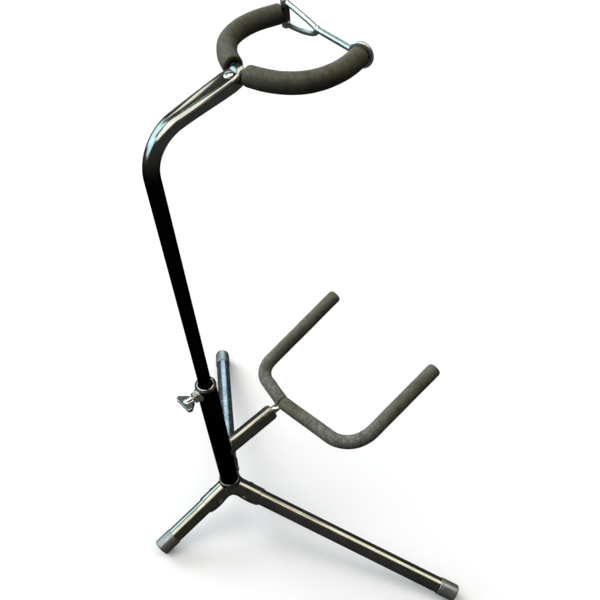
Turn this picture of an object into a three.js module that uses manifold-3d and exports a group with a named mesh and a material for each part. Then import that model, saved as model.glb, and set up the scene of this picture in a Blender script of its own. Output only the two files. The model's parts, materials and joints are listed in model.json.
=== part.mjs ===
// A free-standing tubular guitar stand: a three-legged base with a channel hub, an upright of two
// telescoping tubes, a padded neck yoke with a swinging gate, and a padded cradle for the body.
// Millimetres and degrees, +Z up, the front of the stand along -Y, the floor at Z = 0.

import * as THREE from "three";
import { mergeVertices } from "three/addons/utils/BufferGeometryUtils.js";
import Module from "manifold-3d";

// ---------------------------------------------------------------- driving dimensions

const GAP = 0.3; // clearance between neighbouring pieces
const FOAM_GAP = 0.6; // clearance of a foam sleeve round its bent rod
const LEAN = 13.5; // how far the upright leans to the rear
const HUB_HEIGHT = 81; // floor to the point where the leg axes meet the upright's axis
const LEG_DROOP = 18.5; // leg axes below the plane that is square to the upright
const LEG_TURNS = { rear: 90, left: 210, right: 330 }; // each leg's direction round the upright

const HUB = { radius: 12.5, wall: 1.1, fillet: 16, mouth: 47.5, lipHeight: 14.5, lipWall: 1.7 };
const HUB_SKIRT = { centre: 6, arm: 9 }; // depth of the side wall below the leg axes
const LEG = { radius: 11.1, wall: 1.2, pivot: 28 };
const FOOT = { radius: 12.2, end: 3.5, chamfer: 1.2, worn: 0.7 };
const FOOT_LENGTHS = { rear: 26, left: 26, right: 34 };
const LEG_RIVET = { radius: 2.4, headRadius: 3.7, headHeight: 1.4 };

const LOWER_TUBE = { radius: 12.7, wall: 1.5, bottom: -6, top: 228 };
const UPPER_TUBE = { radius: 8, wall: 1.2, bottom: 100, bendStart: 532 };
const BEND = { radius: 45, angle: 77 };
const NECK = { length: 71, halfWidth: 11.5, halfThickness: 5.6 }; // the flattened length
const NECK_TIP = { past: 6.5, halfWidth: 9.6, halfThickness: 8.2, drop: 2.2, taper: 14 };
const COLLAR_BUSH = { flangeRadius: 13.3, flange: 3.6, sleeve: 28 };
const GUIDE_BUSH = { length: 16, floor: 3, hole: 3 };

const CLAMP_HEIGHT = 219; // wing bolt axis, up the lower tube
const CLAMP_NUT = { acrossFlats: 13, outerFace: 19.5 };
const BOLT = { radius: 3, tip: 8.4, end: 25 };
const WING = { inner: 21, outer: 32, bossRadius: 5.6, lobeRadius: 3.8, lobeReach: 11.8, thickness: 5.4 };
const WING_TURN = 10; // the wings' angle round the bolt at rest

const STEM = { height: 81, rise: 10, length: 85, radius: 11.1, wall: 1.3, reach: 106 };
const STEM_BUSH = { radius: 10.2, sleeve: 24, lip: 2.6 };
const CRADLE_PIN = { radius: 5.6, start: 48, shoulder: 92, tipThickness: 5, tipWidth: 12 };

const CRADLE = { rise: 21.5, rodRadius: 5, bow: 8 };
const RIGHT_SIDE = { width: 63, corner: 24, reach: 163.5 }; // of the cradle, from its pin
const LEFT_SIDE = { width: 126, corner: 45, reach: 172.3 };
const CRADLE_SLEEVE = { radius: 9.4, overhang: 1.5 };
const YOKE = { rodRadius: 4.5, halfWidth: 57, depth: 91, tail: 4.8, steps: 34 };
const YOKE_SLEEVE = { radius: 9.6, start: 11.2 };
const NECK_RIVET = { radius: 2.2, headRadius: 4.6, headHeight: 1.5, back: 9 };
const BARREL = { radius: 4.3, halfHeight: 7.3 }; // upright eye at the yoke's right arm end
const GATE = { prong: 2.6, prongLevel: 11.2, bar: 3, forkLength: 48, discRadius: 12.5, disc: 4.5 };
const GATE_PIN = { radius: 1.9, headRadius: 3.6, headHeight: 1.4 };

const ROUND = 28; // sides of a large tube
const SMALL_ROUND = 12; // sides of a rod, a pin or a sleeve

// ---------------------------------------------------------------- materials

const BLACK_CHROME = { color: 0x1b1b1a, roughness: 0.22, metalness: 0.9 };
const BRIGHT_NICKEL = { color: 0xc9c5b4, roughness: 0.2, metalness: 1 };
const ROD_STEEL = { color: 0x3a3a38, roughness: 0.4, metalness: 0.9 };
const FOAM = { color: 0x4b473c, roughness: 0.95, metalness: 0 };
const RUBBER = { color: 0x5b594d, roughness: 0.6, metalness: 0 };
const BLACK_PLASTIC = { color: 0x151515, roughness: 0.4, metalness: 0 };
const SATIN_CHROME = { color: 0xa8a69c, roughness: 0.35, metalness: 0.9 };

// ---------------------------------------------------------------- solids and booleans

const wasm = await Module();
wasm.setup();
const { clamp, degToRad, lerp, smoothstep } = THREE.MathUtils;

function toSolid(geometry) {
  const bare = geometry.clone();
  bare.deleteAttribute("normal");
  bare.deleteAttribute("uv");
  const merged = mergeVertices(bare, 1e-3);
  const mesh = new wasm.Mesh({
    numProp: 3,
    vertProperties: new Float32Array(merged.attributes.position.array),
    triVerts: new Uint32Array(merged.index.array),
  });
  return new wasm.Manifold(mesh);
}

function toGeometry(solid) {
  const mesh = solid.getMesh();
  const geometry = new THREE.BufferGeometry();
  geometry.setAttribute("position", new THREE.BufferAttribute(mesh.vertProperties, 3));
  geometry.setIndex(new THREE.BufferAttribute(mesh.triVerts, 1));
  geometry.computeVertexNormals();
  return geometry;
}

function cut(base, ...tools) {
  return toGeometry(tools.reduce((left, tool) => left.subtract(toSolid(tool)), toSolid(base)));
}

function join(base, ...others) {
  return toGeometry(others.reduce((sum, other) => sum.add(toSolid(other)), toSolid(base)));
}

function common(base, tool) {
  return toGeometry(toSolid(base).intersect(toSolid(tool)));
}

// ---------------------------------------------------------------- basic shapes

// A closed outline of [radius, height] corners turned about +Z.
function turned(corners, sides = ROUND) {
  const outline = corners.map(([radius, height]) => new THREE.Vector2(radius, height));
  const first = outline[0];
  const last = outline[outline.length - 1];
  if (first.x > 0 || last.x > 0) outline.push(first.clone());
  return new THREE.LatheGeometry(outline, sides).rotateX(Math.PI / 2);
}

// A round pipe along +Z.
function pipe(outerRadius, innerRadius, bottom, top, sides = ROUND) {
  const outline = [[innerRadius, bottom], [outerRadius, bottom], [outerRadius, top], [innerRadius, top]];
  return turned(outline, sides);
}

// A solid rod from start to end along "y" or "z".
function bar(radius, start, end, axis = "z", sides = ROUND) {
  const rod = turned([[0, start], [radius, start], [radius, end], [0, end]], sides);
  return axis === "y" ? rod.rotateX(-Math.PI / 2) : rod;
}

function block(width, depth, height, x, y, z) {
  return new THREE.BoxGeometry(width, depth, height).translate(x, y, z);
}

// A rivet along +Z with a domed head at each end, between the faces at -reach and +reach.
function rivet({ radius, headRadius, headHeight }, reach) {
  const head = (side) => [
    [headRadius, side * reach],
    [headRadius * 0.86, side * (reach + headHeight * 0.55)],
    [headRadius * 0.5, side * (reach + headHeight * 0.92)],
    [0, side * (reach + headHeight)],
  ];
  const lower = head(-1).reverse();
  return turned([...lower, [radius, -reach], [radius, reach], ...head(1)], SMALL_ROUND);
}

// A closed skin over rings of points, with a fan over the first and the last ring.
function skin(rings) {
  const count = rings[0].length;
  const triangles = [];
  for (let ring = 0; ring + 1 < rings.length; ring++) {
    for (let i = 0; i < count; i++) {
      const here = ring * count + i;
      const next = ring * count + ((i + 1) % count);
      triangles.push(here, next, next + count, here, next + count, here + count);
    }
  }
  const lastRing = (rings.length - 1) * count;
  for (let i = 1; i + 1 < count; i++) {
    triangles.push(0, i + 1, i, lastRing, lastRing + i, lastRing + i + 1);
  }
  const geometry = new THREE.BufferGeometry().setFromPoints(rings.flat());
  geometry.setIndex(triangles);
  return geometry;
}

// ---------------------------------------------------------------- curves

const LAST = 1 - 1e-9; // a joined path has no point at exactly 1

// A flat curve laid in space: its x runs along +X and its y along the given direction.
class LaidCurve extends THREE.Curve {
  constructor(flat, origin, along) {
    super();
    Object.assign(this, { flat, origin, along });
  }
  getPoint(t, target = new THREE.Vector3()) {
    const { x, y } = this.flat.getPoint(Math.min(t, LAST));
    return target.copy(this.origin).addScaledVector(this.along, y).add(new THREE.Vector3(x, 0, 0));
  }
}

// The stretch of a curve between two distances from its start.
class Stretch extends THREE.Curve {
  constructor(whole, start, end) {
    super();
    Object.assign(this, { whole, start, end, total: whole.getLength() });
  }
  getPoint(t, target = new THREE.Vector3()) {
    return this.whole.getPointAt(lerp(this.start, this.end, t) / this.total, target);
  }
}

// A rod or, with a bore, a sleeve along a curve.
function swept(path, radius, bore, steps) {
  const section = new THREE.Shape().absarc(0, 0, radius, 0, 2 * Math.PI);
  if (bore > 0) section.holes.push(new THREE.Path().absarc(0, 0, bore, 0, 2 * Math.PI));
  const curveSegments = SMALL_ROUND / 2;
  return new THREE.ExtrudeGeometry(section, { steps, curveSegments, extrudePath: path });
}

// The direction that points to the front and rises by the given angle.
function forward(rise) {
  return new THREE.Vector3(0, -Math.cos(degToRad(rise)), Math.sin(degToRad(rise)));
}

// ---------------------------------------------------------------- hub and legs

// One half of the hub's skin between two arms: columns from the mouth of the arm along +X to the
// middle of the web, each running from the arm's ridge down to the skirt's lower edge.
function hubHalf(radius, fillet) {
  const slope = Math.tan(degToRad(LEG_DROOP));
  const ridge = radius / Math.cos(degToRad(LEG_DROOP));
  const tangent = (radius + fillet) / Math.sqrt(3);
  const column = (ridgeX, edge) => {
    const shoulder = -edge.x * slope;
    const top = -ridgeX * slope + ridge;
    const points = [];
    for (let i = 0; i <= 5; i++) {
      const angle = (i / 5) * (Math.PI / 2);
      const across = Math.sin(angle);
      const height = lerp(shoulder, top, Math.cos(angle));
      points.push(new THREE.Vector3(lerp(ridgeX, edge.x, across), edge.y * across, height));
    }
    points.push(new THREE.Vector3(edge.x, edge.y, shoulder - skirtDepth(edge.x)));
    return points;
  };
  const columns = [];
  for (let i = 0; i <= 7; i++) {
    const x = lerp(HUB.mouth, tangent, (i / 7) ** 1.5);
    columns.push(column(x, new THREE.Vector2(x, radius)));
  }
  for (let i = 1; i <= 4; i++) {
    const angle = degToRad(-90 - (30 * i) / 4);
    const edge = new THREE.Vector2(Math.cos(angle), Math.sin(angle)).multiplyScalar(fillet);
    columns.push(column(tangent * (1 - i / 4), edge.add(new THREE.Vector2(tangent, radius + fillet))));
  }
  return columns;
}

// The skirt deepens towards the rivet and curves up from there to nothing at the mouth.
function skirtDepth(x) {
  const depth = lerp(HUB_SKIRT.centre, HUB_SKIRT.arm, smoothstep(x, 12, LEG.pivot));
  const past = Math.max(0, x - LEG.pivot) / (HUB.mouth - LEG.pivot);
  return depth * Math.sqrt(Math.max(0, 1 - past ** 2));
}

// The columns of a whole web, from the arm along +X to the arm 120 degrees on.
function hubWeb(radius, fillet) {
  const half = hubHalf(radius, fillet);
  const cosine = Math.cos(degToRad(120));
  const sine = Math.sin(degToRad(120));
  const mirror = (p) => new THREE.Vector3(p.x * cosine + p.y * sine, p.x * sine - p.y * cosine, p.z);
  const mirrored = half.slice(0, -1).reverse();
  return [...half, ...mirrored.map((column) => column.map(mirror))];
}

// The pressed hub: an open-bottomed channel with three arms, a raised lip round the upright and a
// cross hole through each arm for its leg rivet.
function hubSpider() {
  const outer = hubWeb(HUB.radius, HUB.fillet);
  const inner = hubWeb(HUB.radius - HUB.wall, HUB.fillet + HUB.wall);
  const rows = outer[0].length;
  const corners = [];
  const quad = (a, b, c, d) => corners.push(a, b, c, a, c, d);
  for (let i = 0; i + 1 < outer.length; i++) {
    for (let j = 0; j + 1 < rows; j++) {
      quad(outer[i][j], outer[i][j + 1], outer[i + 1][j + 1], outer[i + 1][j]);
      quad(inner[i][j], inner[i + 1][j], inner[i + 1][j + 1], inner[i][j + 1]);
    }
    quad(outer[i][rows - 1], inner[i][rows - 1], inner[i + 1][rows - 1], outer[i + 1][rows - 1]);
  }
  const last = outer.length - 1;
  for (let j = 0; j + 1 < rows; j++) {
    quad(outer[0][j], inner[0][j], inner[0][j + 1], outer[0][j + 1]);
    quad(outer[last][j], outer[last][j + 1], inner[last][j + 1], inner[last][j]);
  }
  const web = new THREE.BufferGeometry().setFromPoints(corners);
  const points = [0, 120, 240].flatMap((turn) => {
    const turnedWeb = web.clone().rotateZ(degToRad(turn));
    return [...turnedWeb.attributes.position.array];
  });
  const shell = new THREE.BufferGeometry();
  shell.setAttribute("position", new THREE.Float32BufferAttribute(points, 3));
  const bore = LOWER_TUBE.radius + GAP;
  const lip = pipe(bore + HUB.lipWall, bore - 0.1, 3, HUB.lipHeight);
  const holes = Object.values(LEG_TURNS).map((turn) => {
    const hole = bar(LEG_RIVET.radius + GAP, -20, 20, "y", SMALL_ROUND).translate(LEG.pivot, 0, 0);
    return hole.rotateY(degToRad(LEG_DROOP)).rotateZ(degToRad(turn));
  });
  shell.rotateZ(degToRad(LEG_TURNS.rear));
  return cut(join(shell, lip), bar(bore, -30, 30), ...holes);
}

// How steeply a leg runs down in the standing frame.
function legSlope(turn) {
  const droop = degToRad(LEG_DROOP);
  const lean = degToRad(LEAN);
  const towardsRear = Math.cos(droop) * Math.sin(degToRad(turn));
  return Math.asin(towardsRear * Math.sin(lean) + Math.sin(droop) * Math.cos(lean));
}

// From the hub's centre to the foot's end, so that the foot's worn lower edge rests on the floor.
function legLength(turn) {
  const slope = legSlope(turn);
  const reach = (HUB_HEIGHT - FOOT.radius * Math.cos(slope) + FOOT.worn) / Math.sin(slope);
  return reach + FOOT.chamfer;
}

// A leg tube along +X, open at the foot and domed round its rivet, so that it folds in the channel.
function legTube(length) {
  const end = length - FOOT.end - GAP;
  const bore = LEG.radius - LEG.wall;
  const dome = (radius) => {
    const arc = new THREE.EllipseCurve(0, LEG.pivot, radius, radius, 0, -Math.PI / 2, true);
    return arc.getPoints(7).map((p) => [Math.max(0, p.x), p.y]);
  };
  const outline = [...dome(bore), ...dome(LEG.radius).reverse(), [LEG.radius, end], [bore, end]];
  const hole = bar(LEG_RIVET.radius + GAP, -20, 20, "y", SMALL_ROUND).translate(LEG.pivot, 0, 0);
  return cut(turned(outline).rotateY(Math.PI / 2), hole);
}

// A rubber foot cap along +X, worn flat where it stands on the floor.
function footCap(length, capLength, standing) {
  const start = length - capLength;
  const bore = LEG.radius + GAP;
  const cap = turned([
    [bore, start],
    [FOOT.radius - 0.5, start],
    [FOOT.radius, start + 0.8],
    [FOOT.radius, length - FOOT.chamfer],
    [FOOT.radius - FOOT.chamfer, length],
    [0, length],
    [0, length - FOOT.end],
    [bore, length - FOOT.end],
  ]).rotateY(Math.PI / 2);
  const ground = block(2000, 2000, 40, 0, 0, -20).applyMatrix4(standing.clone().invert());
  return cut(cap, ground);
}

function legRivet() {
  const reach = HUB.radius + GAP / 2;
  return rivet(LEG_RIVET, reach).rotateX(Math.PI / 2).translate(LEG.pivot, 0, 0);
}

// ---------------------------------------------------------------- upright and clamp

function lowerTube() {
  const { radius, wall, bottom, top } = LOWER_TUBE;
  const hole = bar(BOLT.radius + GAP, 5, 20, "y", SMALL_ROUND).translate(0, 0, CLAMP_HEIGHT);
  return cut(pipe(radius, radius - wall, bottom, top), hole);
}

function collarBush() {
  const seat = LOWER_TUBE.top + GAP;
  const bore = UPPER_TUBE.radius + GAP;
  const sleeve = LOWER_TUBE.radius - LOWER_TUBE.wall - GAP;
  const rim = COLLAR_BUSH.flangeRadius;
  const bush = turned([
    [bore, seat - COLLAR_BUSH.sleeve],
    [sleeve, seat - COLLAR_BUSH.sleeve],
    [sleeve, seat],
    [rim, seat],
    [rim, seat + COLLAR_BUSH.flange * 0.6],
    [rim - 1.4, seat + COLLAR_BUSH.flange],
    [bore, seat + COLLAR_BUSH.flange],
  ]);
  const hole = bar(BOLT.radius + GAP, 5, 20, "y", SMALL_ROUND).translate(0, 0, CLAMP_HEIGHT);
  return cut(bush, hole);
}

function guideBush() {
  const bottom = UPPER_TUBE.bottom - GAP - GUIDE_BUSH.floor;
  const outer = LOWER_TUBE.radius - LOWER_TUBE.wall - GAP;
  const bore = UPPER_TUBE.radius + GAP;
  return turned([
    [GUIDE_BUSH.hole, bottom],
    [outer, bottom],
    [outer, bottom + GUIDE_BUSH.length],
    [bore, bottom + GUIDE_BUSH.length],
    [bore, bottom + GUIDE_BUSH.floor],
    [GUIDE_BUSH.hole, bottom + GUIDE_BUSH.floor],
  ]);
}

function clampNut() {
  const cornerRadius = CLAMP_NUT.acrossFlats / Math.sqrt(3);
  const nut = bar(cornerRadius, 8, CLAMP_NUT.outerFace, "y", 6);
  const shank = bar(BOLT.radius + GAP, 0, 30, "y", SMALL_ROUND);
  const tube = bar(LOWER_TUBE.radius + GAP, -20, 20);
  return cut(nut, shank, tube).translate(0, 0, CLAMP_HEIGHT);
}

function boltShank() {
  return bar(BOLT.radius, BOLT.tip, BOLT.end, "y", SMALL_ROUND).translate(0, 0, CLAMP_HEIGHT);
}

// The cast wing head: a boss along +Y inside a thick plate that flares away from the nut.
function wingHead() {
  const { inner, outer, bossRadius, lobeRadius, lobeReach, thickness } = WING;
  const boss = bar(bossRadius, inner, outer, "y", SMALL_ROUND);
  const root = inner + 1;
  const plate = new THREE.Shape().moveTo(-bossRadius - 1, root).lineTo(bossRadius + 1, root);
  plate.absarc(lobeReach, outer, lobeRadius, degToRad(-30), degToRad(100));
  plate.absarc(-lobeReach, outer, lobeRadius, degToRad(80), degToRad(210));
  const extent = { depth: thickness, bevelEnabled: false, curveSegments: 8 };
  const wings = new THREE.ExtrudeGeometry(plate, extent).translate(0, 0, -thickness / 2);
  const socket = bar(BOLT.radius + GAP, 0, BOLT.end + GAP, "y", SMALL_ROUND);
  const head = cut(join(boss, wings), socket);
  return head.rotateY(degToRad(WING_TURN)).translate(0, 0, CLAMP_HEIGHT);
}

// The upper tube's path in its own plane: x to the front, y up.
function neckPath() {
  const { bottom, bendStart } = UPPER_TUBE;
  const path = new THREE.Path().moveTo(0, bottom).lineTo(0, bendStart);
  const turn = degToRad(BEND.angle);
  path.absarc(BEND.radius, bendStart, BEND.radius, Math.PI, Math.PI - turn, true);
  const end = path.currentPoint.clone();
  path.lineTo(end.x + NECK.length * Math.sin(turn), end.y + NECK.length * Math.cos(turn));
  return path;
}

// Where the neck meets the yoke rod.
function yokeJoint() {
  const turn = degToRad(BEND.angle);
  const front = BEND.radius * (1 - Math.cos(turn)) + NECK.length * Math.sin(turn);
  const height = UPPER_TUBE.bendStart + BEND.radius * Math.sin(turn) + NECK.length * Math.cos(turn);
  return new THREE.Vector3(0, -front, height);
}

// The tube's section flattens from round into a wide, low form between the bend and the yoke, and
// its tip is drawn in between the foam sleeves and deepens to clasp the rod.
function neckRings(shrink, start, end) {
  const path = neckPath();
  const straight = UPPER_TUBE.bendStart - UPPER_TUBE.bottom;
  const bend = straight + BEND.radius * degToRad(BEND.angle);
  const total = path.getLength();
  const distances = [start, straight];
  for (let i = 1; i <= 9; i++) distances.push(lerp(straight, bend, i / 9));
  for (let i = 1; i <= 9; i++) distances.push(lerp(bend, end, i / 9));
  return distances.map((distance) => {
    const along = clamp(distance / total, 0, 0.999);
    const tangent = path.getTangentAt(along);
    const centre = path.getPointAt(along).addScaledVector(tangent, distance - along * total);
    const flat = smoothstep(distance, straight, bend + NECK.length * 0.45);
    const drawn = smoothstep(distance, total - NECK_TIP.taper, total);
    const pressed = smoothstep(distance, bend, total);
    const width = lerp(lerp(UPPER_TUBE.radius, NECK.halfWidth, flat), NECK_TIP.halfWidth, drawn);
    const low = lerp(UPPER_TUBE.radius, NECK.halfThickness, flat);
    const thickness = lerp(low, NECK_TIP.halfThickness, pressed);
    centre.y -= NECK_TIP.drop * pressed;
    return neckRing(centre, tangent, width - shrink, thickness - shrink, lerp(1, 0.7, flat));
  });
}

// One ring of the tube: a superellipse, round where square is 1.
function neckRing(centre, tangent, halfWidth, halfThickness, square) {
  const sides = 20;
  const ring = [];
  for (let i = 0; i < sides; i++) {
    const angle = (2 * Math.PI * i) / sides;
    const across = Math.sign(Math.cos(angle)) * Math.abs(Math.cos(angle)) ** square * halfWidth;
    const out = Math.sign(Math.sin(angle)) * Math.abs(Math.sin(angle)) ** square * halfThickness;
    const front = centre.x - out * tangent.y;
    const height = centre.y + out * tangent.x;
    ring.push(new THREE.Vector3(across, -front, height));
  }
  return ring;
}

// The upper tube, hollow from its lower end up to the pressed tip, which clasps the yoke rod
// between the foam sleeves.
function upperTube() {
  const total = neckPath().getLength();
  const outer = skin(neckRings(0, 0, total + NECK_TIP.past));
  const inner = skin(neckRings(UPPER_TUBE.wall, -5, total - NECK_TIP.taper));
  const rod = swept(yokeCurve(), YOKE.rodRadius + GAP, 0, YOKE.steps);
  const foam = [1, -1].map((side) => yokeFoam(side, YOKE_SLEEVE.radius + GAP, 0, GAP));
  const rivetHole = bar(NECK_RIVET.radius + GAP, -20, 20, "z", SMALL_ROUND);
  return cut(outer, inner, rod, ...foam, atNeckRivet(rivetHole));
}

// Turns a shape's +Z to the neck's upper face and moves it to the neck's rivet.
function atNeckRivet(shape) {
  const turn = degToRad(BEND.angle);
  const pressed = smoothstep(NECK.length - NECK_RIVET.back, 0, NECK.length);
  const centre = yokeJoint();
  centre.y += NECK_RIVET.back * Math.sin(turn);
  centre.z -= NECK_RIVET.back * Math.cos(turn) + NECK_TIP.drop * pressed;
  return shape.rotateX(turn - Math.PI / 2).translate(...centre);
}

// ---------------------------------------------------------------- neck yoke and gate

// The curl of the yoke in its own plane, x to the side and y to the front, from the tail behind the
// barrel, round the guitar's neck, to the far arm's end.
function yokeOutline() {
  const end = new THREE.Vector2(YOKE.halfWidth, YOKE.depth);
  const cheek = new THREE.Vector2(1.32 * YOKE.halfWidth, 0.45 * YOKE.depth);
  const heel = new THREE.Vector2(0.94 * YOKE.halfWidth, 0.12 * YOKE.depth);
  const tail = end.clone().sub(cheek).setLength(YOKE.tail).add(end);
  const path = new THREE.Path().moveTo(tail.x, tail.y).lineTo(end.x, end.y);
  path.bezierCurveTo(cheek.x, cheek.y, heel.x, heel.y, 0, 0);
  path.bezierCurveTo(-heel.x, heel.y, -cheek.x, cheek.y, -end.x, end.y);
  return path;
}

// The yoke lies square to the upright, with its open side to the front.
function yokeCurve() {
  return new LaidCurve(yokeOutline(), yokeJoint(), forward(0));
}

// The rod ends in an upright barrel that carries the gate.
function yokeRod() {
  const curve = yokeCurve();
  const rod = swept(curve, YOKE.rodRadius, 0, YOKE.steps);
  const { x, y, z } = curve.getPoint(0);
  const barrel = bar(BARREL.radius, -BARREL.halfHeight, BARREL.halfHeight, "z", SMALL_ROUND);
  const pinHole = bar(GATE_PIN.radius + GAP, -20, 20, "z", SMALL_ROUND);
  return cut(join(rod, barrel.translate(x, y, z)), pinHole.translate(x, y, z));
}

// A round run on one arm of the yoke: +1 for the barrel's arm, -1 for the far arm.
function yokeFoam(side, radius, bore, spare) {
  const curve = yokeCurve();
  const total = curve.getLength();
  const middle = (total + YOKE.tail) / 2;
  const root = YOKE_SLEEVE.start - spare;
  const stretch = side > 0 ? [YOKE.tail, middle - root] : [middle + root, total];
  return swept(new Stretch(curve, ...stretch), radius, bore, 15);
}

function yokeSleeve(side) {
  return yokeFoam(side, YOKE_SLEEVE.radius, YOKE.rodRadius + FOAM_GAP, 0);
}

function neckRivet() {
  const pressed = smoothstep(NECK.length - NECK_RIVET.back, 0, NECK.length);
  const halfThickness = lerp(NECK.halfThickness, NECK_TIP.halfThickness, pressed);
  return atNeckRivet(rivet(NECK_RIVET, halfThickness + 2 * GAP));
}

// The gate: a fork over the barrel, a bar across the mouth and a disc over the far arm's end.
function gate() {
  const curve = yokeCurve();
  const hinge = curve.getPoint(0);
  const armEnd = curve.getPoint(1);
  const armLine = curve.getTangentAt(1);
  const prongs = [1, -1].flatMap((side) => {
    const root = hinge.clone().add(new THREE.Vector3(0, 0, side * GATE.prongLevel));
    const tip = hinge.clone().add(new THREE.Vector3(-GATE.forkLength, 0, side * 1.6));
    const faces = [BARREL.halfHeight + GAP, GATE.prongLevel + GATE.prong].map((z) => z * side);
    const tab = bar(BARREL.radius, Math.min(...faces), Math.max(...faces), "z", SMALL_ROUND);
    return [tab.translate(...hinge), swept(new THREE.LineCurve3(root, tip), GATE.prong, 0, 1)];
  });
  const knuckle = hinge.clone().add(new THREE.Vector3(-GATE.forkLength, 0, 0));
  const discCentre = armEnd.clone().addScaledVector(armLine, GAP + GATE.disc / 2);
  const crossbar = swept(new THREE.LineCurve3(knuckle, discCentre), GATE.bar, 0, 1);
  const discBack = armEnd.clone().addScaledVector(armLine, GAP);
  const discFront = discBack.clone().addScaledVector(armLine, GATE.disc);
  const disc = swept(new THREE.LineCurve3(discBack, discFront), GATE.discRadius, 0, 1);
  const ball = new THREE.SphereGeometry(4, SMALL_ROUND, 10).translate(...knuckle);
  const pinHole = bar(GATE_PIN.radius + GAP, -20, 20, "z", SMALL_ROUND).translate(...hinge);
  return cut(join(disc, crossbar, ball, ...prongs), pinHole, farArmSpace(armEnd, armLine));
}

// The space of the far sleeve, which the crossbar is trimmed to clear.
function farArmSpace(armEnd, armLine) {
  const back = armEnd.clone().addScaledVector(armLine, -30);
  const front = armEnd.clone().addScaledVector(armLine, GAP);
  return swept(new THREE.LineCurve3(back, front), GATE.discRadius + 1, 0, 1);
}

function gatePin() {
  const reach = GATE.prongLevel + GATE.prong + GAP / 2;
  return rivet(GATE_PIN, reach).translate(...yokeCurve().getPoint(0));
}

// ---------------------------------------------------------------- stem and cradle
// These pieces are made along +Z from the upright's axis, and their group lays them along the stem.

function stemTube() {
  const tube = pipe(STEM.radius, STEM.radius - STEM.wall, 0, STEM.length);
  const upright = bar(LOWER_TUBE.radius + GAP, -80, 80).rotateX(degToRad(STEM.rise - 90));
  return cut(tube, upright);
}

function stemBush() {
  const bore = CRADLE_PIN.radius + GAP;
  const sleeve = STEM.radius - STEM.wall - GAP;
  const seat = STEM.length + GAP;
  return turned([
    [bore, seat - STEM_BUSH.sleeve],
    [sleeve, seat - STEM_BUSH.sleeve],
    [sleeve, seat],
    [STEM_BUSH.radius, seat],
    [STEM_BUSH.radius, seat + STEM_BUSH.lip - 0.8],
    [STEM_BUSH.radius - 0.8, seat + STEM_BUSH.lip],
    [bore, seat + STEM_BUSH.lip],
  ]);
}

// The cradle's pin turns in the bush and ends in a flattened tip against the rod.
function cradlePin() {
  const ring = (height, halfWidth, halfThickness) => {
    const section = new THREE.EllipseCurve(0, 0, halfWidth, halfThickness);
    return section.getPoints(SMALL_ROUND).slice(0, -1).map((p) => new THREE.Vector3(p.x, p.y, height));
  };
  const { radius, start, shoulder, tipWidth, tipThickness } = CRADLE_PIN;
  const end = STEM.reach - CRADLE.rodRadius - GAP;
  return skin([
    ring(start, radius, radius),
    ring(shoulder, radius, radius),
    ring(end, tipWidth / 2, tipThickness / 2),
  ]);
}

// One side of the cradle: the corner's centre and the length from the pin to the arm's end.
function cradleSide({ width, corner, reach }) {
  const bow = degToRad(CRADLE.bow);
  const run = (width - corner + corner * Math.sin(bow)) / Math.cos(bow);
  const x = run * Math.cos(bow) - corner * Math.sin(bow);
  const y = run * Math.sin(bow) + corner * Math.cos(bow);
  const length = run + corner * (Math.PI / 2 - bow) + reach - y;
  return { x, y, length };
}

// The cradle's outline in its own plane, from the right arm's end to the left arm's end.
function cradleCurve() {
  const bow = degToRad(CRADLE.bow);
  const right = cradleSide(RIGHT_SIDE);
  const left = cradleSide(LEFT_SIDE);
  const path = new THREE.Path().moveTo(RIGHT_SIDE.width, RIGHT_SIDE.reach);
  path.lineTo(RIGHT_SIDE.width, right.y);
  path.absarc(right.x, right.y, RIGHT_SIDE.corner, 0, bow - Math.PI / 2, true);
  path.lineTo(0, 0);
  path.absarc(-left.x, left.y, LEFT_SIDE.corner, -Math.PI / 2 - bow, -Math.PI, true);
  path.lineTo(-LEFT_SIDE.width, LEFT_SIDE.reach);
  const rise = degToRad(CRADLE.rise - STEM.rise);
  const along = new THREE.Vector3(0, Math.sin(rise), Math.cos(rise));
  return new LaidCurve(path, new THREE.Vector3(0, 0, STEM.reach), along);
}

function cradleRod() {
  const curve = cradleCurve();
  const inset = CRADLE_SLEEVE.overhang;
  return swept(new Stretch(curve, inset, curve.getLength() - inset), CRADLE.rodRadius, 0, 42);
}

// A foam sleeve on one arm: +1 for the right arm and -1 for the left. The two butt square at the
// pin, where each is notched for the pin's tip.
function cradleSleeve(side) {
  const curve = cradleCurve();
  const seam = cradleSide(RIGHT_SIDE).length;
  const start = side > 0 ? 0 : seam - 4;
  const end = side > 0 ? seam + 4 : curve.getLength();
  const bore = CRADLE.rodRadius + FOAM_GAP;
  const sleeve = swept(new Stretch(curve, start, end), CRADLE_SLEEVE.radius, bore, side > 0 ? 20 : 26);
  const notch = block(CRADLE_PIN.tipWidth + 1.2, 11, 8, 0, 0, STEM.reach - CRADLE.rodRadius - 4);
  const otherSide = block(60, 60, 60, side * (GAP / 2 - 30), 0, STEM.reach);
  return cut(sleeve, notch, otherSide);
}

// ---------------------------------------------------------------- assembly

const stand = new THREE.Group();

function addMesh(group, name, geometry, look) {
  const mesh = new THREE.Mesh(geometry, new THREE.MeshStandardMaterial(look));
  mesh.name = name;
  group.add(mesh);
}

const upright = new THREE.Group();
upright.position.z = HUB_HEIGHT;
upright.rotation.x = -degToRad(LEAN);
stand.add(upright);

addMesh(upright, "hub_spider", hubSpider(), BLACK_CHROME);
for (const [name, turn] of Object.entries(LEG_TURNS)) {
  const arm = new THREE.Group();
  arm.rotation.set(0, degToRad(LEG_DROOP), degToRad(turn), "ZYX");
  upright.add(arm);
  stand.updateMatrixWorld(true);
  const length = legLength(turn);
  addMesh(arm, `leg_tube_${name}`, legTube(length), BLACK_CHROME);
  addMesh(arm, `leg_rivet_${name}`, legRivet(), BRIGHT_NICKEL);
  addMesh(arm, `foot_cap_${name}`, footCap(length, FOOT_LENGTHS[name], arm.matrixWorld), RUBBER);
}

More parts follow.
